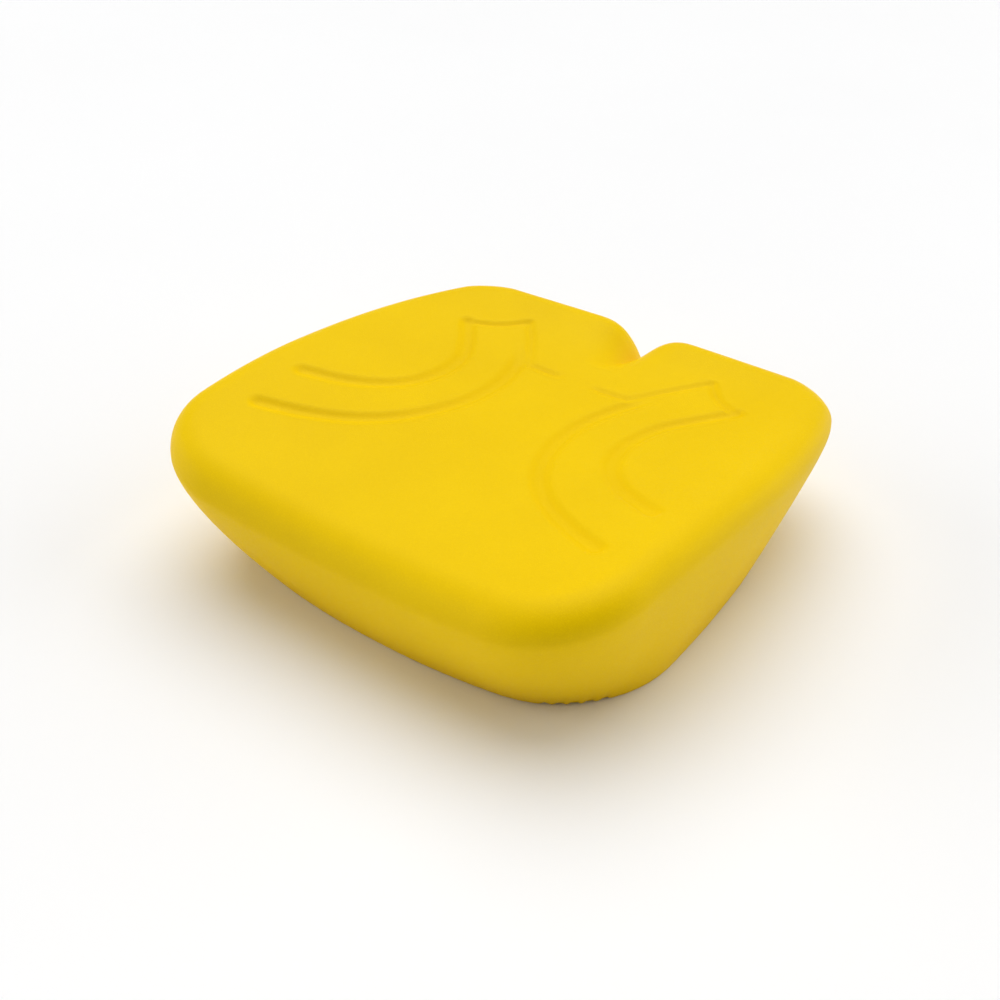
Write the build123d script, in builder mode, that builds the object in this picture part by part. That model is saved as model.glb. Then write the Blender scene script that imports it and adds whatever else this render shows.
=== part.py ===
"""Moulded seat cushion: a formed vinyl cover over a foam core on a plywood board.

Millimetres. +X is the sitter's left-to-right, +Y the back of the seat, +Z up.
The origin is the middle of the cushion's footprint on the plane it rests on.
"""

import os
from math import atan2, degrees, hypot

from build123d import *

# ---- overall form -------------------------------------------------------
cushion_width = 480.0  # side to side at the widest place
cushion_depth = 459.0  # front to back at the widest level
widest_y = 4.0  # the widest place lies this far behind the middle
front_width = 446.0  # between the front corners before rounding
back_width = 385.0  # between the back corners before rounding
front_hollow = 4.0  # how far the front edge curves inward at its middle
back_bow = 5.0  # how far the back edge swells outward at its middle
front_corner_r = 80.0
back_corner_r = 72.0
widest_level = 92.0  # height at which the wall is widest
rim_r = 26.0  # rounding between the wall and the sitting surface

# ---- sitting surface ----------------------------------------------------
middle_height = 117.5  # sitting surface at the middle of the cushion
front_to_back_fall = 40.5  # the surface falls this much from front to back
side_rise = 25.0  # rims stand this much above the middle
back_rise = 25.0  # the back rim's rise above the falling surface
back_rise_start = 0.45  # fraction of the depth where the back rim begins
back_rise_power = 4.3  # how late that rise comes: 2 is an even curve
waterfall_drop = 20.5  # drop of the front edge under the thighs
waterfall_start = 0.45  # fraction of the depth where the drop ends

# ---- tailbone relief valley ---------------------------------------------
valley_width = 72.0  # shoulder to shoulder at the back edge
valley_depth = 33.0  # at the back edge
valley_length = 92.0  # from the back edge to where it fades out
valley_floor_r = 14.0  # rounding of the valley's bottom

# ---- footprint of the wrapped board -------------------------------------
foot_narrowing = 54.0  # the foot is narrower than the cushion by this much
foot_widest_y = -40.0
foot_front_narrowing = 21.0  # narrower than the front width by this much
foot_back_narrowing = 27.0
foot_front_setback = 73.5  # the foot's front corners lie this far behind the cushion's
foot_back_setback = 36.0
foot_front_bow = 36.5  # how far the foot's front edge swells forward
foot_back_bow = 2.5
foot_front_corner_r = 105.0
foot_back_corner_r = 150.0
foot_edge_r = 3.0  # rounding where the vinyl turns under the board
wall_power = 1.3  # how quickly the wall draws in toward the foot

# ---- cover, foam and board ----------------------------------------------
vinyl_thickness = 1.4
hem_width = 30.0  # vinyl turned in under the board
lay_clearance = 0.3  # between layers that only lie against each other
board_thickness = 12.0
board_edge_r = 1.6
bolt_pocket_r = 6.0  # room in the foam over each nut for a bolt end
bolt_pocket_depth = 12.0
trim_height = 200.0  # top of the solid that trims the sitting surface
trim_overhang = 20.0  # how far that solid reaches past the cushion all round

# ---- tee nuts -----------------------------------------------------------
bolt_spacing_x = 200.0
bolt_spacing_y = 220.0
bolt_pattern_y = 10.0  # middle of the four bolts, front to back
tee_barrel_r = 5.0
tee_bore_r = 3.4  # M8 thread, measured at its minor diameter
tee_flange_r = 11.0
tee_flange_thickness = 1.6
tee_barrel_length = 11.0
prong_reach = 8.0
prong_width = 3.2
prong_thickness = 1.4
prong_circle_r = 9.2
prong_count = 4

# ---- breather grommets --------------------------------------------------
vent_x = 62.0
vent_y = 6.0
vent_hole_r = 7.0
vent_bore_r = 4.5
vent_lip_r = 9.5
vent_lip_thickness = 1.0

# ---- hem staples --------------------------------------------------------
staple_count = 52
staple_inset = 15.0  # from the foot outline to the staple line
staple_crown = 11.0
staple_wire_width = 1.2
staple_wire_thickness = 0.7
staple_leg = 7.0

depth_front = -cushion_depth / 2
depth_back = cushion_depth / 2 - back_bow
foot_front_width = front_width - foot_front_narrowing
foot_back_width = back_width - foot_back_narrowing
foot_front_y = depth_front + foot_front_setback
foot_back_y = depth_back - foot_back_setback
edge_margin = max(cushion_depth, cushion_width) / 2 + trim_overhang
board_bottom = vinyl_thickness
board_top = board_bottom + board_thickness

os.makedirs("parts", exist_ok=True)


def mix(low, high, share):
    """The value a share of the way from low to high."""
    return low + (high - low) * share


def outline(flare, inset):
    """Plan outline of the cushion: flare 0 at the board's foot, 1 at the widest level."""
    half = mix(cushion_width - foot_narrowing, cushion_width, flare) / 2 - inset
    half_y = mix(foot_widest_y, widest_y, flare)
    fw = mix(foot_front_width, front_width, flare) / 2 - inset
    bw = mix(foot_back_width, back_width, flare) / 2 - inset
    fy = mix(foot_front_y, depth_front, flare) + inset
    by = mix(foot_back_y, depth_back, flare) - inset
    front = mix(foot_front_bow, -front_hollow, flare)
    back = mix(foot_back_bow, back_bow, flare)
    front_r = mix(foot_front_corner_r, front_corner_r, flare) - inset
    back_r = mix(foot_back_corner_r, back_corner_r, flare) - inset
    with BuildSketch() as face:
        with BuildLine():
            ThreePointArc((-fw, fy), (0, fy - front), (fw, fy))
            TangentArc((half, half_y), (fw, fy), tangent=(0, -1))
            TangentArc((half, half_y), (bw, by), tangent=(0, 1))
            ThreePointArc((bw, by), (0, by + back), (-bw, by))
            TangentArc((-half, half_y), (-bw, by), tangent=(0, 1))
            TangentArc((-half, half_y), (-fw, fy), tangent=(0, -1))
        make_face()
        fillet(face.vertices().sort_by(Axis.Y)[:2], front_r)
        fillet(face.vertices().sort_by(Axis.Y)[-2:], back_r)
    return face.sketch


def surface_height(x, y):
    """Height of the sitting surface above the rest plane."""
    along = (y - depth_front) / cushion_depth
    side = (2 * x / cushion_width) ** 2
    back = (max(along - back_rise_start, 0.0) / (1 - back_rise_start)) ** back_rise_power
    lip = max(1 - along / waterfall_start, 0.0) ** 2
    height = middle_height + front_to_back_fall * (0.5 - along)
    height += side_rise * side + back_rise * (1 - side) * back
    return height - waterfall_drop * lip


def above_surface(inset):
    """Everything above the sitting surface, lowered by the inset."""
    across = [edge_margin * step / 4 for step in range(-4, 5)]
    along = [edge_margin * step / 4 for step in range(-4, 5)]
    with BuildPart() as space:
        for y in along:
            section = Plane(origin=(0, y, 0), x_dir=(1, 0, 0), z_dir=(0, -1, 0))
            with BuildSketch(section):
                with BuildLine():
                    points = [(x, surface_height(x, y) - inset) for x in across]
                    Spline(*points)
                    Polyline(points[-1], (edge_margin, trim_height), (-edge_margin, trim_height), points[0])
                make_face()
        loft()
    return space.part


def relief_valley(inset):
    """The wedge of space of the tailbone relief, opening upward and to the back."""
    half = valley_width / 2
    slant = hypot(half, valley_depth) / half
    drop = inset * slant + valley_floor_r * (slant - 1)
    front_y = cushion_depth / 2 - valley_length
    back_y = cushion_depth / 2
    start = Vector(0, front_y, surface_height(0, front_y) - drop)
    end = Vector(0, back_y, surface_height(0, back_y) - valley_depth - drop)
    run = end - start
    with BuildPart() as space:
        with BuildSketch(Plane(origin=start - run * 0.4, x_dir=(-1, 0, 0), z_dir=run)) as wedge:
            with BuildLine():
                Polyline((0, 0), (2 * half, 2 * valley_depth), (-2 * half, 2 * valley_depth), close=True)
            make_face()
            fillet(wedge.vertices().sort_by(Axis.Y)[0], valley_floor_r + inset)
        extrude(amount=run.length * 1.8)
    return space.part


def cushion_body(inset, bottom):
    """The padded form, shrunk by the inset all round and cut flat at the bottom."""
    with BuildPart() as body:
        for step in range(5):
            share = step / 4
            with BuildSketch(Plane.XY.offset(mix(bottom, widest_level, share))):
                add(outline(1 - (1 - share) ** wall_power, inset))
        with BuildSketch(Plane.XY.offset(trim_height - 30)):
            add(outline(1, inset))
        loft()
        add(above_surface(inset), mode=Mode.SUBTRACT)
        top = body.faces().filter_by(lambda face: face.normal_at().Z > 0.5).sort_by(SortBy.AREA)[-1]
        fillet(top.edges(), rim_r - inset)
        add(relief_valley(inset), mode=Mode.SUBTRACT)
    return body.part


def foot_outline(inset):
    """Plan outline at the level of the board."""
    return outline(0, inset)


# ---- staple places: evenly along a line inside the hem ------------------
staple_line = foot_outline(staple_inset).face().outer_wire()
staple_places = []
for number in range(staple_count):
    share = (number + 0.5) / staple_count
    spot = staple_line.position_at(share)
    heading = staple_line.tangent_at(share)
    turn = degrees(atan2(heading.Y, heading.X))
    staple_places.append(Location((spot.X, spot.Y, 0), (0, 0, turn)))

# ---- hem staples: wire staples, crowns flush with the hem's face --------
leg_middle = (staple_crown - staple_wire_thickness) / 2
low = (Align.CENTER, Align.CENTER, Align.MIN)
with BuildPart() as one_staple:
    Box(staple_crown, staple_wire_width, staple_wire_thickness, align=low)
    with Locations((-leg_middle, 0, 0), (leg_middle, 0, 0)):
        Box(staple_wire_thickness, staple_wire_width, staple_wire_thickness + staple_leg, align=low)

with BuildPart() as hem_staples:
    with Locations(*staple_places):
        add(one_staple.part)

# ---- tee nut: round flange, barrel with the thread, four prongs ---------
bolt_places = GridLocations(bolt_spacing_x, bolt_spacing_y, 2, 2)
bolt_spots = [Vector(*place.position) + Vector(0, bolt_pattern_y, 0) for place in bolt_places]
prong_seat = Plane.XY.offset(board_top)


def tee_nut():
    """One tee nut at the origin of the plan, its flange lying on the board."""
    with BuildPart() as nut:
        with BuildSketch(prong_seat):
            Circle(tee_flange_r)
        extrude(amount=tee_flange_thickness)
        fillet(nut.edges().sort_by(Axis.Z)[-1], 0.5)
        with BuildSketch(prong_seat):
            Circle(tee_barrel_r)
        extrude(amount=-tee_barrel_length)
        with BuildSketch(prong_seat):
            with PolarLocations(prong_circle_r, prong_count):
                Rectangle(prong_thickness, prong_width)
        extrude(amount=-prong_reach, taper=3)
        with BuildSketch(prong_seat.offset(tee_flange_thickness)):
            Circle(tee_bore_r)
        extrude(amount=-tee_flange_thickness - tee_barrel_length, mode=Mode.SUBTRACT)
        mouth = nut.edges().filter_by(GeomType.CIRCLE).sort_by(Axis.Z)[:1]
        chamfer(mouth, 0.4)
    return nut.part


nut_names = ["tee_nut_front_left", "tee_nut_back_left", "tee_nut_front_right", "tee_nut_back_right"]
tee_nuts = []
for nut_name, spot in zip(nut_names, bolt_spots):
    with BuildPart() as placed_nut:
        with Locations(Location((spot.X, spot.Y, 0))):
            add(tee_nut())
    placed_nut.part.label = nut_name
    tee_nuts.append(placed_nut.part)

# ---- breather grommet: lipped ring pressed into the board from below ----
def breather(side):
    """One breather grommet, side -1 for the left and 1 for the right."""
    spot = (side * vent_x, vent_y)
    with BuildPart() as ring:
        with BuildSketch(Plane.XY.offset(board_bottom - vent_lip_thickness)):
            with Locations(spot):
                Circle(vent_lip_r)
        extrude(amount=vent_lip_thickness)
        fillet(ring.edges().sort_by(Axis.Z)[0], 0.6)
        with BuildSketch(Plane.XY.offset(board_bottom)):
            with Locations(spot):
                Circle(vent_hole_r)
        extrude(amount=board_thickness)
        with BuildSketch(Plane.XY.offset(board_bottom - vent_lip_thickness)):
            with Locations(spot):
                Circle(vent_bore_r)
        extrude(amount=board_thickness + vent_lip_thickness, mode=Mode.SUBTRACT)
    return ring.part


breather_left = breather(-1)
breather_left.label = "breather_left"
breather_right = breather(1)
breather_right.label = "breather_right"

# ---- base board: plywood, drilled for the tee nuts and the breathers ----
with BuildPart() as base_board:
    with BuildSketch(Plane.XY.offset(board_bottom)):
        add(foot_outline(vinyl_thickness + lay_clearance))
    extrude(amount=board_thickness)
    fillet(base_board.faces().sort_by(Axis.Z)[0].outer_wire().edges(), board_edge_r)
    with BuildSketch(Plane.XY.offset(board_bottom)):
        with Locations(*[(spot.X, spot.Y) for spot in bolt_spots]):
            Circle(tee_barrel_r)
        with Locations((-vent_x, vent_y), (vent_x, vent_y)):
            Circle(vent_hole_r)
    extrude(amount=board_thickness, mode=Mode.SUBTRACT)
    for nut in tee_nuts:
        add(nut, mode=Mode.SUBTRACT)
    add(hem_staples.part, mode=Mode.SUBTRACT)

# ---- foam core: moulded pad, hollowed over each tee nut -----------------
with BuildPart() as foam_core:
    add(cushion_body(vinyl_thickness + lay_clearance, board_bottom))
    split(bisect_by=Plane.XY.offset(board_top), keep=Keep.TOP)
    with BuildSketch(Plane.XY.offset(board_top)):
        with Locations(*[(spot.X, spot.Y) for spot in bolt_spots]):
            Circle(tee_flange_r + lay_clearance)
    extrude(amount=tee_flange_thickness + lay_clearance, mode=Mode.SUBTRACT)
    with BuildSketch(Plane.XY.offset(board_top)):
        with Locations(*[(spot.X, spot.Y) for spot in bolt_spots]):
            Circle(bolt_pocket_r)
    extrude(amount=bolt_pocket_depth, mode=Mode.SUBTRACT)

# ---- vinyl cover: formed shell, its hem turned in under the board -------
with BuildPart() as vinyl_cover:
    add(cushion_body(0, 0))
    fillet(vinyl_cover.faces().sort_by(Axis.Z)[0].outer_wire().edges(), foot_edge_r)
    add(cushion_body(vinyl_thickness, board_bottom), mode=Mode.SUBTRACT)
    with BuildSketch(Plane.XY):
        add(foot_outline(vinyl_thickness + hem_width))
    extrude(amount=vinyl_thickness, mode=Mode.SUBTRACT)
    add(hem_staples.part, mode=Mode.SUBTRACT)

vinyl_cover.part.label = "vinyl_cover"
foam_core.part.label = "foam_core"
base_board.part.label = "base_board"
hem_staples.part.label = "hem_staples"

pieces = [vinyl_cover.part, foam_core.part, base_board.part, hem_staples.part]
pieces += tee_nuts + [breather_left, breather_right]
for piece in pieces:
    export_step(piece, f"parts/{piece.label}.step")
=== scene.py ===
import math

import bmesh
import bpy
import numpy as np
from mathutils import Matrix, Vector


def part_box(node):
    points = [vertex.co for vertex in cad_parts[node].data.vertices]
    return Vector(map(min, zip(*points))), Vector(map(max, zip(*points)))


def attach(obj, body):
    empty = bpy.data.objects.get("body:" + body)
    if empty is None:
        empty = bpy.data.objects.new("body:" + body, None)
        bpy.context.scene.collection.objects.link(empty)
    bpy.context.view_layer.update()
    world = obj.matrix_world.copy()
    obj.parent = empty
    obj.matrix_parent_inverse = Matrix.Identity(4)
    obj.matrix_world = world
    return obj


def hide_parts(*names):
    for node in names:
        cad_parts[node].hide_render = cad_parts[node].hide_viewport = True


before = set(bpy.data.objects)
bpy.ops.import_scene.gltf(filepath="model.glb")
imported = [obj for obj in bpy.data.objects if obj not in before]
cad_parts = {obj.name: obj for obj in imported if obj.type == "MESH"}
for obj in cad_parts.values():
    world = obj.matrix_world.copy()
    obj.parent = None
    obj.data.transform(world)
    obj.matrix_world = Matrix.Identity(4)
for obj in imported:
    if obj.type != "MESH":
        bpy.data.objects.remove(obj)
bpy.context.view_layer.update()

# ---- base board -----------------------------------------------------------
# The stiff bottom of the cushion: 12 mm birch plywood, sawn to the foot's outline and drilled.
# The vinyl is turned in over its edge and stapled, so only its middle shows from below.


def new_finish(name):
    """A node material with its Principled shader."""
    finish = bpy.data.materials.new(name)
    finish.use_nodes = True
    return finish, finish.node_tree, finish.node_tree.nodes["Principled BSDF"]


def add_node(tree, kind, **settings):
    """A node with some of its properties and socket values set."""
    node = tree.nodes.new(kind)
    for key, value in settings.items():
        if key in node.inputs:
            node.inputs[key].default_value = value
        else:
            setattr(node, key, value)
    return node


def join(tree, output, target):
    """A link between two sockets."""
    tree.links.new(output, target)


def two_tones(tree, mask, dark, light):
    """A colour between two tones, picked by a mask from 0 to 1."""
    mix = add_node(tree, "ShaderNodeMix", data_type="RGBA")
    mix.inputs["A"].default_value = (*dark, 1)
    mix.inputs["B"].default_value = (*light, 1)
    join(tree, mask, mix.inputs["Factor"])
    return mix.outputs["Result"]


def remap(tree, value, low, high):
    """A value from 0..1 spread from low to high."""
    spread = add_node(tree, "ShaderNodeMapRange")
    spread.inputs["To Min"].default_value = low
    spread.inputs["To Max"].default_value = high
    join(tree, value, spread.inputs["Value"])
    return spread.outputs["Result"]


def bumped(tree, shader, height, distance, strength=1.0):
    """Relief on the shader's normal, from a height."""
    bump = add_node(tree, "ShaderNodeBump")
    bump.inputs["Strength"].default_value = strength
    bump.inputs["Distance"].default_value = distance
    join(tree, height, bump.inputs["Height"])
    join(tree, bump.outputs["Normal"], shader.inputs["Normal"])


def make_unevenness():
    """Shader group: soft clouds and fine specks, for handling marks on any finish."""
    group = bpy.data.node_groups.new("unevenness", "ShaderNodeTree")
    sockets = group.interface
    sockets.new_socket("Vector", in_out="INPUT", socket_type="NodeSocketVector")
    sockets.new_socket("Cloud Scale", in_out="INPUT", socket_type="NodeSocketFloat")
    sockets.new_socket("Speck Scale", in_out="INPUT", socket_type="NodeSocketFloat")
    sockets.new_socket("Clouds", in_out="OUTPUT", socket_type="NodeSocketFloat")
    sockets.new_socket("Specks", in_out="OUTPUT", socket_type="NodeSocketFloat")
    start = group.nodes.new("NodeGroupInput")
    end = group.nodes.new("NodeGroupOutput")
    cloud = add_node(group, "ShaderNodeTexNoise", Detail=4.0, Roughness=0.55)
    speck = add_node(group, "ShaderNodeTexNoise", Detail=2.0, Roughness=0.6)
    for texture, scale in ((cloud, "Cloud Scale"), (speck, "Speck Scale")):
        join(group, start.outputs["Vector"], texture.inputs["Vector"])
        join(group, start.outputs[scale], texture.inputs["Scale"])
    for texture, name in ((cloud, "Clouds"), (speck, "Specks")):
        sharpen = add_node(group, "ShaderNodeMapRange")
        sharpen.inputs["From Min"].default_value = 0.3
        sharpen.inputs["From Max"].default_value = 0.7
        join(group, texture.outputs["Fac"], sharpen.inputs["Value"])
        join(group, sharpen.outputs["Result"], end.inputs[name])
    return group


unevenness = make_unevenness()


def uneven(tree, cloud_scale, speck_scale):
    """The unevenness group placed in a finish, on the piece's own coordinates."""
    place = add_node(tree, "ShaderNodeTexCoord")
    marks = add_node(tree, "ShaderNodeGroup", node_tree=unevenness)
    marks.inputs["Cloud Scale"].default_value = cloud_scale
    marks.inputs["Speck Scale"].default_value = speck_scale
    join(tree, place.outputs["Object"], marks.inputs["Vector"])
    return marks


def plywood_finish():
    """Sanded birch veneer: long fine grain along the board, with pale rings."""
    finish, tree, shader = new_finish("birch_plywood")
    place = add_node(tree, "ShaderNodeTexCoord")
    stretch = add_node(tree, "ShaderNodeMapping")
    stretch.inputs["Scale"].default_value = (5, 60, 40)
    join(tree, place.outputs["Object"], stretch.inputs["Vector"])
    rings = add_node(tree, "ShaderNodeTexNoise", Scale=1.0, Detail=5.0, Roughness=0.6, Distortion=1.4)
    join(tree, stretch.outputs["Vector"], rings.inputs["Vector"])
    fibres = add_node(tree, "ShaderNodeTexNoise", Scale=14.0, Detail=3.0)
    join(tree, stretch.outputs["Vector"], fibres.inputs["Vector"])
    tone = two_tones(tree, rings.outputs["Fac"], (0.42, 0.27, 0.14), (0.72, 0.54, 0.34))
    marks = uneven(tree, 14, 220)
    dull = add_node(tree, "ShaderNodeMix", data_type="RGBA", blend_type="MULTIPLY")
    dull.inputs["Factor"].default_value = 0.35
    join(tree, tone, dull.inputs["A"])
    soiled = two_tones(tree, marks.outputs["Clouds"], (0.62, 0.58, 0.52), (1, 1, 1))
    join(tree, soiled, dull.inputs["B"])
    join(tree, dull.outputs["Result"], shader.inputs["Base Color"])
    join(tree, remap(tree, marks.outputs["Specks"], 0.62, 0.8), shader.inputs["Roughness"])
    bumped(tree, shader, fibres.outputs["Fac"], 0.0003, 0.5)
    return finish


def wear_finish(node, finish):
    """A CAD node gets its finish."""
    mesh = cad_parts[node].data
    mesh.materials.clear()
    mesh.materials.append(finish)


wear_finish("base_board", plywood_finish())

# ---- tee nuts -------------------------------------------------------------
# Four M8 tee nuts of zinc-plated steel, pressed into the board from the foam side.
# The cushion is bolted down by them from below.


def metal_finish(name, dark, light, rough_low, rough_high):
    """Plated or drawn steel with fine scratches and a cloudy gloss."""
    finish, tree, shader = new_finish(name)
    shader.inputs["Metallic"].default_value = 1.0
    marks = uneven(tree, 60, 900)
    tone = two_tones(tree, marks.outputs["Clouds"], dark, light)
    join(tree, tone, shader.inputs["Base Color"])
    join(tree, remap(tree, marks.outputs["Specks"], rough_low, rough_high), shader.inputs["Roughness"])
    bumped(tree, shader, marks.outputs["Specks"], 0.00005, 0.5)
    return finish


zinc = metal_finish("zinc_plate", (0.50, 0.50, 0.48), (0.74, 0.75, 0.78), 0.22, 0.42)
for nut in ("tee_nut_front_left", "tee_nut_back_left", "tee_nut_front_right", "tee_nut_back_right"):
    wear_finish(nut, zinc)

# ---- breathers ------------------------------------------------------------
# Two lipped rings of black nylon, pushed into the board from below.
# They let air in and out of the foam as the sitter moves.


def nylon_finish():
    """Moulded black nylon, a little dusty in its texture."""
    finish, tree, shader = new_finish("black_nylon")
    marks = uneven(tree, 90, 1400)
    tone = two_tones(tree, marks.outputs["Clouds"], (0.010, 0.010, 0.011), (0.035, 0.034, 0.033))
    join(tree, tone, shader.inputs["Base Color"])
    join(tree, remap(tree, marks.outputs["Specks"], 0.38, 0.6), shader.inputs["Roughness"])
    bumped(tree, shader, marks.outputs["Specks"], 0.00008, 0.6)
    return finish


nylon = nylon_finish()
for breather in ("breather_left", "breather_right"):
    wear_finish(breather, nylon)

# ---- foam core ------------------------------------------------------------
# A one-piece moulded pad of cold-cured polyurethane foam, glued to the board.
# It gives the seat its dish, its rounded rims and the relief valley at the back.

MM = 0.001
width_half = 240.0
seat_front = -232.9
seat_back = 225.3


def bezier(start, control, end, count, weight=1.0):
    """Points of a conic arc between two ends."""
    t = np.linspace(0, 1, count)[:, None]
    parts = ((1 - t) ** 2, 2 * weight * t * (1 - t), t**2)
    return (parts[0] * start + parts[1] * control + parts[2] * end) / sum(parts)


def spaced(points, count, trim_start=0.0, trim_end=0.0):
    """Points at even steps along a polyline, with its ends trimmed off."""
    steps = np.linalg.norm(np.diff(points, axis=0), axis=1)
    run = np.concatenate([[0], np.cumsum(steps)])
    spare = 0.98 * run[-1] / (trim_start + trim_end + 1e-9)
    shrink = min(1.0, spare)
    at = np.linspace(trim_start * shrink, run[-1] - trim_end * shrink, count)
    return np.stack([np.interp(at, run, points[:, k]) for k in range(2)], 1)


def plan_outline(count, front, back, front_y, back_y, bows, corners, skew):
    """Closed plan outline, count points on each of the four sides, from corner to corner."""
    edge_points = 120
    bend_half = 30
    bend_weight = 0.75
    left_front, right_front = np.array([-front / 2, front_y]), np.array([front / 2, front_y])
    left_back, right_back = np.array([-back / 2, back_y]), np.array([back / 2, back_y])
    knots = [left_front, right_front, right_back, left_back]
    corner_cuts = [corners[0], corners[0], corners[1], corners[1]]
    sides = []
    for number in range(4):
        a, b = knots[number], knots[(number + 1) % 4]
        heading = (b - a) / np.linalg.norm(b - a)
        outward = np.array([heading[1], -heading[0]])
        middle = a + (b - a) * (0.5, skew, 0.5, 1 - skew)[number]
        edge = bezier(a, middle + 2 * bows[number] * outward, b, edge_points)
        cuts = corner_cuts[number], corner_cuts[(number + 1) % 4]
        sides.append(spaced(edge, edge_points, *cuts))
    bends = []
    for number in range(4):
        start, end = sides[number][-1], sides[(number + 1) % 4][0]
        bends.append(bezier(start, knots[(number + 1) % 4], end, 2 * bend_half + 1, bend_weight))
    ring = []
    for number in range(4):
        arriving, leaving = bends[number - 1][bend_half:], bends[number][: bend_half + 1]
        line = np.concatenate([arriving, sides[number][1:-1], leaving])
        ring.append(spaced(line, count + 1)[:-1])
    return np.concatenate(ring)


def widest_outline(count):
    """Plan outline where the cushion is widest."""
    front_width, back_width = 449.5, 386.0
    bows = (-4, 33.7, 5.1, 33.7)
    corners = (83, 36.6)
    widest_at = 0.8
    return plan_outline(count, front_width, back_width, seat_front, seat_back, bows, corners, widest_at)


def outward_of(ring):
    """Unit normals in plan of a closed outline."""
    along = np.roll(ring, -1, 0) - np.roll(ring, 1, 0)
    normal = np.stack([along[:, 1], -along[:, 0]], 1)
    return normal / np.linalg.norm(normal, axis=1)[:, None]


def foot_outline(count):
    """Plan outline at the foot: the board's edge plus the vinyl that wraps it."""
    wrap = 1.7
    sector = 0.02
    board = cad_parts["base_board"].data
    ends = np.array([[board.vertices[v].co[:2] for v in edge.vertices] for edge in board.edges]) / MM
    along = np.linspace(0, 1, 40)[:, None, None]
    spots = (ends[:, 0] * (1 - along) + ends[:, 1] * along).reshape(-1, 2)
    angles = np.arctan2(spots[:, 1], spots[:, 0])
    reach = np.hypot(spots[:, 0], spots[:, 1])
    turns = np.linspace(-math.pi, math.pi, 240, endpoint=False)
    edge = []
    for turn in turns:
        near = np.abs((angles - turn + math.pi) % (2 * math.pi) - math.pi) < sector
        edge.append(reach[near].max())
    smooth = np.array(edge)
    for _ in range(3):
        smooth = (np.roll(smooth, 1) + 2 * smooth + np.roll(smooth, -1)) / 4
    ring = widest_outline(count)
    bearing = np.arctan2(ring[:, 1], ring[:, 0])
    far = np.interp(bearing, turns, smooth, period=2 * math.pi)
    foot = np.stack([far * np.cos(bearing), far * np.sin(bearing)], 1)
    return foot + outward_of(foot) * wrap


middle_height = 132.4
front_to_back_fall = 40.6
rim_rise = 24.9
lip_drop = 20.6
lip_share = 0.45
valley_depth = 43.3
valley_length = 88.3
valley_half = 56.0


def seat_height(x, y):
    """Height of the sitting surface: dished, with high side rims and a relief valley at the back."""
    along = (y - seat_front) / (seat_back - seat_front)
    side = np.clip(np.abs(x) / width_half, 0, 1.05) ** 2.15
    rear = np.clip((along - lip_share) / (1 - lip_share), 0, 1.05) ** 4.3
    lip = np.clip(1 - along / lip_share, 0, 1.1) ** 2
    rim = side + rear - side * rear - 0.6
    height = middle_height - front_to_back_fall * (along - 0.5) + rim_rise * rim - lip_drop * lip
    run = np.clip((y - (seat_back - valley_length)) / valley_length, 0, 1.2)
    blunt = 0.034
    across = np.sqrt((x / valley_half) ** 2 + blunt**2) - blunt
    return height - valley_depth * run**1.14 * np.clip(1 - across, 0, 1) ** 3.06


rim_out = 27.9
rim_drop = 25.1
foot_edge = 3.0
wall_power = 1.3
hem_width = 30.0


def form_rings(count, rim_steps, wall_steps, foot_steps, hem_steps):
    """Rings of the padded form from the rim's inner edge down to the hem, each as x, y, z rows."""
    wide = widest_outline(count)
    out = outward_of(wide)
    foot = foot_outline(count)
    foot_out = outward_of(foot)
    rings = []
    for turn in np.linspace(math.pi / 2, 0, rim_steps):
        spot = wide - out * rim_out * (1 - math.cos(turn))
        z = seat_height(spot[:, 0], spot[:, 1]) - rim_drop * (1 - math.sin(turn))
        rings.append(np.column_stack([spot, z]))
    level = seat_height(wide[:, 0], wide[:, 1]) - rim_drop
    lean = np.arctan2(wall_power * np.linalg.norm(wide - foot, axis=1), level)
    stop = 1 - foot_edge * (1 - np.sin(lean)) / level
    for share in np.linspace(0, 1, wall_steps + 1)[1:]:
        k = (stop * share)[:, None]
        spot = wide * (1 - k**wall_power) + foot * k**wall_power
        rings.append(np.column_stack([spot, level * (1 - k[:, 0])]))
    centre = rings[-1][:, :2] - foot_out * (foot_edge * np.cos(lean))[:, None]
    for share in np.linspace(0, 1, foot_steps + 1)[1:]:
        turn = lean + (math.pi / 2 - lean) * share
        spot = centre + foot_out * (foot_edge * np.cos(turn))[:, None]
        rings.append(np.column_stack([spot, foot_edge * (1 - np.sin(turn))]))
    for share in np.linspace(0, 1, hem_steps + 1)[1:]:
        spot = centre - foot_out * hem_width * share
        rings.append(np.column_stack([spot, np.zeros(len(spot))]))
    return rings


def seat_patch(ring, count):
    """Grid over the sitting surface, blended from its four sides: (count + 1) squared points."""
    relaxing_passes = 1500
    plan = ring[:, :2]
    front, right = plan[: count + 1], plan[count : 2 * count + 1]
    back = plan[2 * count : 3 * count + 1][::-1]
    left = np.concatenate([plan[3 * count :], plan[:1]])[::-1]
    s = np.linspace(0, 1, count + 1)[None, :, None]
    t = np.linspace(0, 1, count + 1)[:, None, None]
    spots = (1 - t) * front[None] + t * back[None] + (1 - s) * left[:, None] + s * right[:, None]
    corners = (1 - s) * (1 - t) * front[0] + s * (1 - t) * front[-1]
    corners = corners + (1 - s) * t * back[0] + s * t * back[-1]
    spots = spots - corners
    for _ in range(relaxing_passes):
        beside = spots[:-2, 1:-1] + spots[2:, 1:-1] + spots[1:-1, :-2] + spots[1:-1, 2:]
        spots[1:-1, 1:-1] = beside / 4
    height = seat_height(spots[..., 0], spots[..., 1])
    return np.concatenate([spots, height[..., None]], 2)


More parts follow.
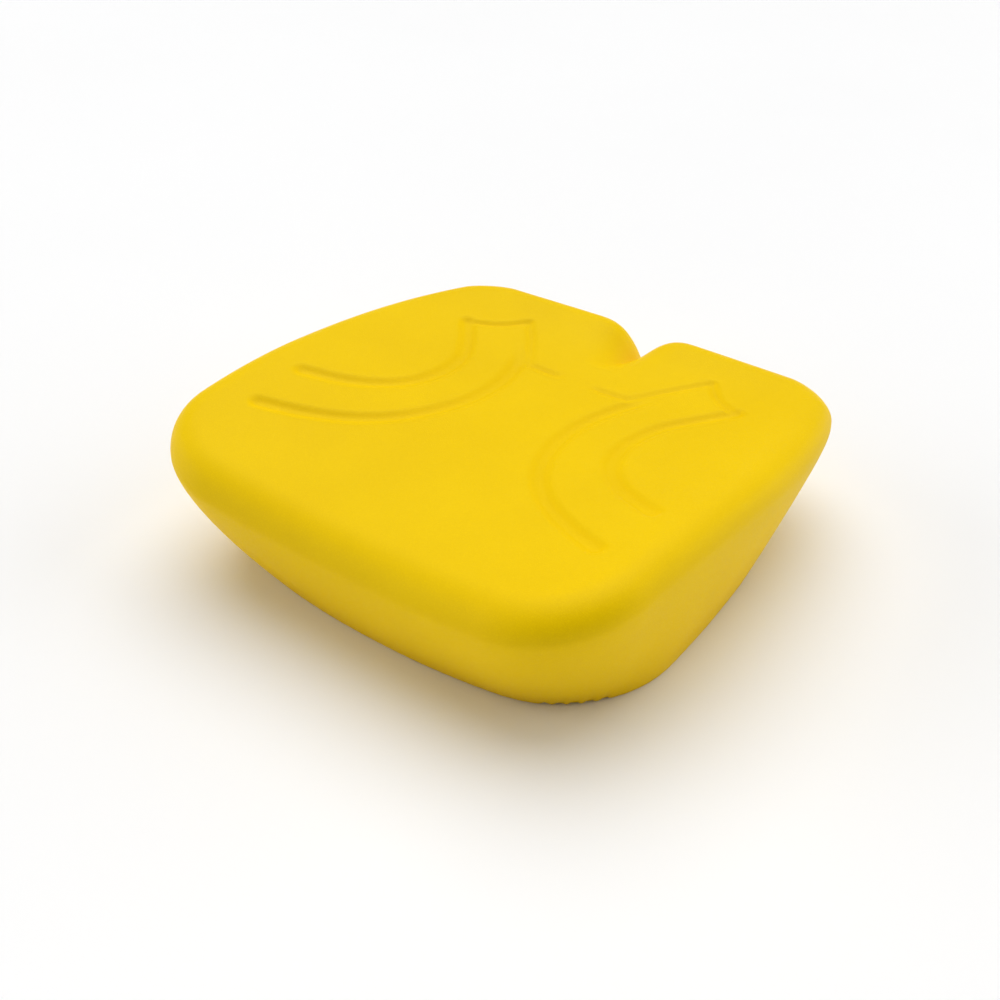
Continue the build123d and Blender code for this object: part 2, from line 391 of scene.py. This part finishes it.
def skin_faces(count, ring_count):
    """Faces of the patch and the rings below it. The first ring is the patch's own edge."""
    side = count + 1
    index = np.arange(side * side).reshape(side, side)
    faces = []
    for row in range(count):
        for col in range(count):
            near, far = index[row], index[row + 1]
            faces.append((near[col], near[col + 1], far[col + 1], far[col]))
    edge = np.concatenate([index[0, :-1], index[:-1, -1], index[-1, :0:-1], index[:0:-1, 0]])
    around = 4 * count
    loops = [edge]
    for number in range(ring_count - 1):
        loops.append(side * side + number * around + np.arange(around))
    for upper, lower in zip(loops, loops[1:]):
        for k in range(around):
            nxt = (k + 1) % around
            faces.append((upper[k], lower[k], lower[nxt], upper[nxt]))
    return faces, loops[-1]


def skin(count, rim_steps, wall_steps, foot_steps, hem_steps):
    """Points, faces and last loop of the form's surface."""
    rings = form_rings(count, rim_steps, wall_steps, foot_steps, hem_steps)
    patch = seat_patch(rings[0], count)
    points = np.concatenate([patch.reshape(-1, 3)] + rings[1:])
    faces, last = skin_faces(count, len(rings))
    return points, faces, last


def normals_of(points, faces):
    """Vertex normals of a surface."""
    mesh = bpy.data.meshes.new("scratch")
    mesh.from_pydata(points.tolist(), [], faces)
    mesh.update()
    normals = np.zeros(len(points) * 3)
    mesh.vertex_normals.foreach_get("vector", normals)
    bpy.data.meshes.remove(mesh)
    return normals.reshape(-1, 3)


def solid(name, points, faces, finish):
    """An object in metres from points in millimetres, smoothly shaded, faces turned outward."""
    mesh = bpy.data.meshes.new(name)
    mesh.from_pydata((np.asarray(points) * MM).tolist(), [], [tuple(int(v) for v in f) for f in faces])
    work = bmesh.new()
    work.from_mesh(mesh)
    bmesh.ops.recalc_face_normals(work, faces=work.faces)
    work.to_mesh(mesh)
    work.free()
    mesh.polygons.foreach_set("use_smooth", [True] * len(mesh.polygons))
    mesh.materials.append(finish)
    piece = bpy.data.objects.new(name, mesh)
    bpy.context.scene.collection.objects.link(piece)
    return piece


def foam_finish():
    """Pale cream foam with an open fine cell."""
    finish, tree, shader = new_finish("moulded_foam")
    place = add_node(tree, "ShaderNodeTexCoord")
    cells = add_node(tree, "ShaderNodeTexVoronoi", Scale=900.0)
    join(tree, place.outputs["Object"], cells.inputs["Vector"])
    marks = uneven(tree, 20, 300)
    tone = two_tones(tree, marks.outputs["Clouds"], (0.66, 0.56, 0.36), (0.82, 0.76, 0.58))
    join(tree, tone, shader.inputs["Base Color"])
    join(tree, remap(tree, marks.outputs["Specks"], 0.82, 0.96), shader.inputs["Roughness"])
    bumped(tree, shader, cells.outputs["Distance"], 0.0006)
    return finish


foam_lift = 13.6
foam_inset = 6.2
pocket_radius = 0.0114
pocket_depth = 0.005


def settle(piece):
    """A piece's modifiers become its mesh."""
    graph = bpy.context.evaluated_depsgraph_get()
    mesh = bpy.data.meshes.new_from_object(piece.evaluated_get(graph))
    piece.modifiers.clear()
    piece.data = mesh
    mesh.polygons.foreach_set("use_smooth", [True] * len(mesh.polygons))


def foam_core():
    """The pad: the form drawn in under the cover, flat on the board, hollowed over the tee nuts."""
    count = 44
    points, faces, _ = skin(count, rim_steps=8, wall_steps=22, foot_steps=2, hem_steps=1)
    points = points - normals_of(points, faces) * foam_inset
    keep = points[:, 2] > foam_lift + 2
    faces = [face for face in faces if all(keep[v] for v in face)]
    work = bmesh.new()
    spots = [work.verts.new(p) for p in points.tolist()]
    for face in faces:
        work.faces.new([spots[v] for v in face])
    bmesh.ops.delete(work, geom=[v for v in work.verts if not v.link_faces], context="VERTS")
    rim = [e for e in work.edges if e.is_boundary]
    skirt = bmesh.ops.extrude_edge_only(work, edges=rim)["geom"]
    for vert in [g for g in skirt if isinstance(g, bmesh.types.BMVert)]:
        vert.co.z = foam_lift
    bmesh.ops.holes_fill(work, edges=[e for e in work.edges if e.is_boundary], sides=0)
    mesh = bpy.data.meshes.new("foam_pad")
    work.to_mesh(mesh)
    work.free()
    points = np.array([v.co for v in mesh.vertices])
    pad = solid("foam_pad", points, [tuple(p.vertices) for p in mesh.polygons], foam_finish())
    board_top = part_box("base_board")[1].z
    pockets = bmesh.new()
    for nut in ("tee_nut_front_left", "tee_nut_back_left", "tee_nut_front_right", "tee_nut_back_right"):
        low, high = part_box(nut)
        middle = (low + high) / 2
        place = Matrix.Translation((middle.x, middle.y, board_top))
        bmesh.ops.create_cone(
            pockets,
            cap_ends=True,
            segments=40,
            radius1=pocket_radius,
            radius2=pocket_radius,
            depth=pocket_depth,
            matrix=place,
        )
    cutter_mesh = bpy.data.meshes.new("pockets")
    pockets.to_mesh(cutter_mesh)
    pockets.free()
    cutter = bpy.data.objects.new("pockets", cutter_mesh)
    bpy.context.scene.collection.objects.link(cutter)
    cut = pad.modifiers.new("pockets", "BOOLEAN")
    cut.object = cutter
    cut.operation = "DIFFERENCE"
    settle(pad)
    bpy.data.objects.remove(cutter)
    return pad


foam = foam_core()
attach(foam, "root")
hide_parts("foam_core")

# ---- vinyl cover ----------------------------------------------------------
# One sheet of bright yellow grained vinyl with a thin foam backing, formed over the pad with
# its lines pressed in, gathered round the foot's corners, turned in and stapled under the board.

# The lines pressed into the vinyl while it is formed, right half, in plan.
outer_line = [(184, -68), (151, -52), (127, -33), (109, -6), (103, 30), (109, 66), (124, 93), (150, 127)]
inner_line = [(175, -131), (139, -115), (101, -91), (72, -57), (55, -12), (51, 33)]
inner_line += [(58, 75), (70, 107), (79, 124)]
cap_line = [(150, 127), (124, 144), (104, 168)]
fan_line = [(104, 168), (80.5, 139), (55.5, 101)]
dash_line = [(55.5, 101), (35, 100), (13, 100.5)]


def smooth_line(knots, count):
    """Evenly spaced points on a smooth curve through the knots."""
    knots = np.array(knots, float)
    padded = np.concatenate([[2 * knots[0] - knots[1]], knots, [2 * knots[-1] - knots[-2]]])
    points = []
    for p0, p1, p2, p3 in zip(padded, padded[1:], padded[2:], padded[3:]):
        t = np.linspace(0, 1, 24, endpoint=False)[:, None]
        bend = 2 * p0 - 5 * p1 + 4 * p2 - p3
        points.append(0.5 * (2 * p1 + (p2 - p0) * t + bend * t**2 + (3 * p1 - p0 - 3 * p2 + p3) * t**3))
    return spaced(np.concatenate(points + [knots[-1:]]), count)


# Each line with its depth, the half-width of its floor and of its mouth, and how far its end fades.
pressed_lines = [
    (outer_line, 3.6, 2.4, 10.5, 0),
    (inner_line, 3.6, 2.4, 10.5, 34),
    (cap_line, 2.8, 0.5, 6.5, 0),
    (fan_line, 2.3, 0.5, 6.5, 0),
    (dash_line, 2.6, 0.5, 6.5, 14),
]


def pressed_depth(x, y):
    """How far the sitting surface is pressed in at plan points."""
    margin = 14
    depth = np.zeros(len(x))
    spots = np.stack([np.abs(x), y], 1)
    for knots, deep, floor_half, mouth_half, fade in pressed_lines:
        line = smooth_line(knots, 160)
        length = np.linalg.norm(np.diff(line, axis=0), axis=1).sum()
        run = np.linspace(0, length, len(line))
        low, high = line.min(0) - margin, line.max(0) + margin
        near = np.nonzero(((spots > low) & (spots < high)).all(1))[0]
        gap = np.full(len(near), 1e9)
        at = np.zeros(len(near))
        for start, end, s0, s1 in zip(line, line[1:], run, run[1:]):
            seg = end - start
            t = np.clip((spots[near] - start) @ seg / (seg @ seg), 0, 1)
            d = np.linalg.norm(spots[near] - start - t[:, None] * seg, axis=1)
            closer = d < gap
            gap = np.where(closer, d, gap)
            at = np.where(closer, s0 + t * (s1 - s0), at)
        wall = np.clip((mouth_half - gap) / (mouth_half - floor_half), 0, 1)
        part = deep * wall**2 * (3 - 2 * wall)
        if fade:
            part = part * np.clip((length - at) / fade, 0, 1)
        depth[near] = np.maximum(depth[near], part)
    return depth


def press(points, patch_count):
    """Presses the lines into the sitting surface of the form's points."""
    pressed = points.copy()
    pressed[:patch_count, 2] -= pressed_depth(points[:patch_count, 0], points[:patch_count, 1])
    return pressed


gather_pitch = 12.5
gather_lift = 3.8
gather_draw = 1.8
gather_shifts = (-22, 22, -22, 22)
gather_reaches = (34, 34, 42, 42)
wall_reach = 24
foot_reach = 9
loose_lift = 0.25
hem_pucker = 0.35


def foot_folds(count):
    """Depth of the gathers at each point round the foot, 0 to 1, and how slack the vinyl is there."""
    fold_half = gather_pitch * 0.42
    ring = foot_outline(count)
    steps = np.linalg.norm(np.roll(ring, -1, 0) - ring, axis=1)
    run = np.concatenate([[0], np.cumsum(steps)])
    length = run[-1]
    run = run[:-1]
    rng = np.random.default_rng(7)
    notch = np.zeros(len(run))
    strength = np.zeros(len(run))
    for corner in range(4):
        middle = run[corner * count] + gather_shifts[corner]
        away = (run - middle + length / 2) % length - length / 2
        share = np.clip(1 - np.abs(away) / gather_reaches[corner], 0, 1)
        strength = np.maximum(strength, np.clip(share * 3, 0, 1))
    at = 0.0
    while at < length:
        away = (run - at + length / 2) % length - length / 2
        size = rng.uniform(0.6, 1.0)
        notch = np.maximum(notch, size * np.clip(1 - np.abs(away) / fold_half, 0, 1) ** 1.4)
        at += gather_pitch * rng.uniform(0.85, 1.15)
    return notch, 0.1 + 0.9 * strength


def vinyl_finish():
    """Semi-gloss vinyl with a fine leather grain, its crevices darkened with painted shade."""
    finish, tree, shader = new_finish("yellow_vinyl")
    place = add_node(tree, "ShaderNodeTexCoord")
    grain = add_node(tree, "ShaderNodeTexVoronoi", feature="DISTANCE_TO_EDGE", Scale=620.0)
    warp = add_node(tree, "ShaderNodeTexNoise", Scale=260.0, Detail=2.0)
    bend = add_node(tree, "ShaderNodeMix", data_type="VECTOR")
    bend.inputs["Factor"].default_value = 0.003
    join(tree, place.outputs["Object"], warp.inputs["Vector"])
    join(tree, place.outputs["Object"], bend.inputs["A"])
    join(tree, warp.outputs["Color"], bend.inputs["B"])
    join(tree, bend.outputs["Result"], grain.inputs["Vector"])
    pebble = add_node(tree, "ShaderNodeMapRange", interpolation_type="SMOOTHSTEP")
    pebble.inputs["From Max"].default_value = 0.35
    join(tree, grain.outputs["Distance"], pebble.inputs["Value"])
    marks = uneven(tree, 9, 420)
    tone = two_tones(tree, marks.outputs["Clouds"], (0.885, 0.590, 0.0), (0.925, 0.625, 0.0))
    # Painted shade: the tone is multiplied darker in the grain's crevices, where the pebble mask is low.
    painted_grain_shade = add_node(tree, "ShaderNodeMix", data_type="RGBA", blend_type="MULTIPLY")
    join(tree, remap(tree, pebble.outputs["Result"], 0.22, 0.0), painted_grain_shade.inputs["Factor"])
    join(tree, tone, painted_grain_shade.inputs["A"])
    painted_grain_shade.inputs["B"].default_value = (0.80, 0.70, 0.3, 1)
    join(tree, painted_grain_shade.outputs["Result"], shader.inputs["Base Color"])
    join(tree, remap(tree, marks.outputs["Specks"], 0.40, 0.52), shader.inputs["Roughness"])
    shader.inputs["Specular IOR Level"].default_value = 0.06
    shader.inputs["IOR"].default_value = 1.5
    height = add_node(tree, "ShaderNodeMath", operation="MULTIPLY_ADD")
    join(tree, marks.outputs["Specks"], height.inputs[0])
    height.inputs[1].default_value = 0.3
    join(tree, pebble.outputs["Result"], height.inputs[2])
    bumped(tree, shader, height.outputs["Value"], 0.00012, 0.6)
    return finish


def gather(rings, count, hem_steps):
    """Works the gathers into the foot of the wall and into the hem. The rings are changed in place."""
    notch, slack = foot_folds(count)
    fold = notch * slack
    hem_start = len(rings) - hem_steps
    out = outward_of(rings[hem_start - 1][:, :2])
    for number, ring in enumerate(rings):
        if number < hem_start:
            rise = np.clip(1 - ring[:, 2] / wall_reach, 0, 1) ** 2
            low = np.clip(1 - ring[:, 2] / foot_reach, 0, 1)
            ring[:, :2] -= out * (fold * rise * gather_draw)[:, None]
            ring[:, 2] += (loose_lift + fold * gather_lift) * low * slack
        else:
            inward = (number - hem_start + 1) / hem_steps
            flat = min(1, inward * 4)
            pucker = hem_pucker * flat * (1 - inward * 0.5)
            face = loose_lift * slack + fold * (gather_lift * (1 - flat) + pucker)
            ring[:, 2] = face * (1 - flat) + np.minimum(0.28 + face * 0.6, 0.75) * flat
            ring[:, :2] -= out * (fold * gather_draw * (1 - flat))[:, None]


def lining(coarse):
    """The skin's inner face: thin where it wraps the board, thicker over the foam."""
    thin, backing = 1.35, 3.2
    backing_from, backing_over = 20, 30
    hem_low, hem_high = 1.32, 1.36
    points, faces, last = skin(coarse, rim_steps=7, wall_steps=16, foot_steps=3, hem_steps=3)
    flat_start = len(points) - 4 * (4 * coarse)
    room = thin + backing * np.clip((points[:, 2] - backing_from) / backing_over, 0, 1)
    points = points - normals_of(points, faces) * room[:, None]
    points[flat_start:, 2] = np.clip(points[flat_start:, 2], hem_low, hem_high)
    return points, faces, last


def vinyl_cover():
    """The formed cover: a closed skin with a coarse inner face, its lines and gathers worked in."""
    count = 170
    coarse = 34
    hem_steps = 16
    points, faces, last = skin(count, rim_steps=16, wall_steps=34, foot_steps=5, hem_steps=hem_steps)
    around = 4 * count
    patch_points = (count + 1) ** 2
    points = press(points, patch_points)
    gather(points[patch_points:].reshape(-1, around, 3), count, hem_steps)
    inner, inner_faces, inner_last = lining(coarse)
    shift = len(points)
    all_points = np.concatenate([points, inner])
    all_faces = list(faces)
    all_faces += [tuple(v + shift for v in face[::-1]) for face in inner_faces]
    ratio = count // coarse
    for k in range(4 * coarse):
        nxt = (k + 1) % (4 * coarse)
        outer_run = [last[(k * ratio + step) % around] for step in range(ratio + 1)]
        all_faces.append(tuple(outer_run) + (inner_last[nxt] + shift, inner_last[k] + shift))
    return solid("vinyl_skin", all_points, all_faces, vinyl_finish())


cover = vinyl_cover()
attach(cover, "root")
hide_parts("vinyl_cover")

# ---- hem staples ----------------------------------------------------------
# Fifty-two wire staples of galvanised steel, driven through the turned-in hem into the board.
# They hold the vinyl taut round the whole foot.

galvanised = metal_finish("staple_wire", (0.42, 0.42, 0.41), (0.68, 0.68, 0.66), 0.25, 0.5)
wear_finish("hem_staples", galvanised)

# ---- floor, light and camera ----------------------------------------------
# The cushion stands on a plain white studio floor, lit by one wide soft lamp from above and behind
# and by two low ones, on its left and on its right.


def studio_floor():
    """A wide white floor."""
    mesh = bpy.data.meshes.new("studio_floor")
    reach = 12.0
    corners = [(-reach, -reach, 0), (reach, -reach, 0), (reach, reach, 0), (-reach, reach, 0)]
    mesh.from_pydata(corners, [], [(0, 1, 2, 3)])
    floor = bpy.data.objects.new("studio_floor", mesh)
    bpy.context.scene.collection.objects.link(floor)
    finish, tree, shader = new_finish("white_floor")
    marks = uneven(tree, 0.8, 30)
    tone = two_tones(tree, marks.outputs["Clouds"], (0.93, 0.93, 0.93), (0.95, 0.95, 0.95))
    join(tree, tone, shader.inputs["Base Color"])
    shader.inputs["Roughness"].default_value = 0.9
    shader.inputs["Specular IOR Level"].default_value = 0.1
    mesh.materials.append(finish)
    return floor


studio_floor()


def soft_light(name, azimuth, elevation, spread, power):
    """A far, wide light. Azimuth 0 is in front of the seat and 90 on its right."""
    data = bpy.data.lights.new(name, "SUN")
    data.angle = math.radians(spread)
    data.energy = power
    turn, rise = math.radians(azimuth), math.radians(elevation)
    source = Vector((math.sin(turn) * math.cos(rise), -math.cos(turn) * math.cos(rise), math.sin(rise)))
    lamp = bpy.data.objects.new(name, data)
    lamp.rotation_euler = source.to_track_quat("Z", "Y").to_euler()
    bpy.context.scene.collection.objects.link(lamp)


soft_light("overhead_light", azimuth=214, elevation=70, spread=66, power=2.2)
soft_light("left_light", azimuth=-58, elevation=8, spread=60, power=1.5)
soft_light("right_light", azimuth=132, elevation=16, spread=60, power=1.2)

world = bpy.data.worlds.new("white_studio")
world.use_nodes = True
world.node_tree.nodes["Background"].inputs["Color"].default_value = (1, 1, 1, 1)
world.node_tree.nodes["Background"].inputs["Strength"].default_value = 0.19
bpy.context.scene.world = world
bpy.context.scene.view_settings.view_transform = "Standard"


def place_camera(azimuth, elevation, distance, lens, aside, upward):
    """A camera round the cushion's middle, aimed a little aside of it."""
    turn, rise = math.radians(azimuth), math.radians(elevation)
    back = Vector((math.sin(turn) * math.cos(rise), -math.cos(turn) * math.cos(rise), math.sin(rise)))
    right = Vector((math.cos(turn), math.sin(turn), 0))
    up = back.cross(right)
    middle = Vector((0, 0, 0.05))
    place = middle + back * distance
    target = middle + right * aside + up * upward
    toward = (place - target).normalized()
    side = (right - toward * right.dot(toward)).normalized()
    over = toward.cross(side)
    data = bpy.data.cameras.new("camera")
    data.sensor_width = 36
    data.lens = lens
    camera = bpy.data.objects.new("camera", data)
    camera.matrix_world = Matrix.Translation(place) @ Matrix((side, over, toward)).transposed().to_4x4()
    bpy.context.scene.collection.objects.link(camera)
    bpy.context.scene.camera = camera


place_camera(
    azimuth=37.02,
    elevation=33.85,
    distance=1.14049,
    lens=45.65,
    aside=-0.01027,
    upward=-0.01423,
)
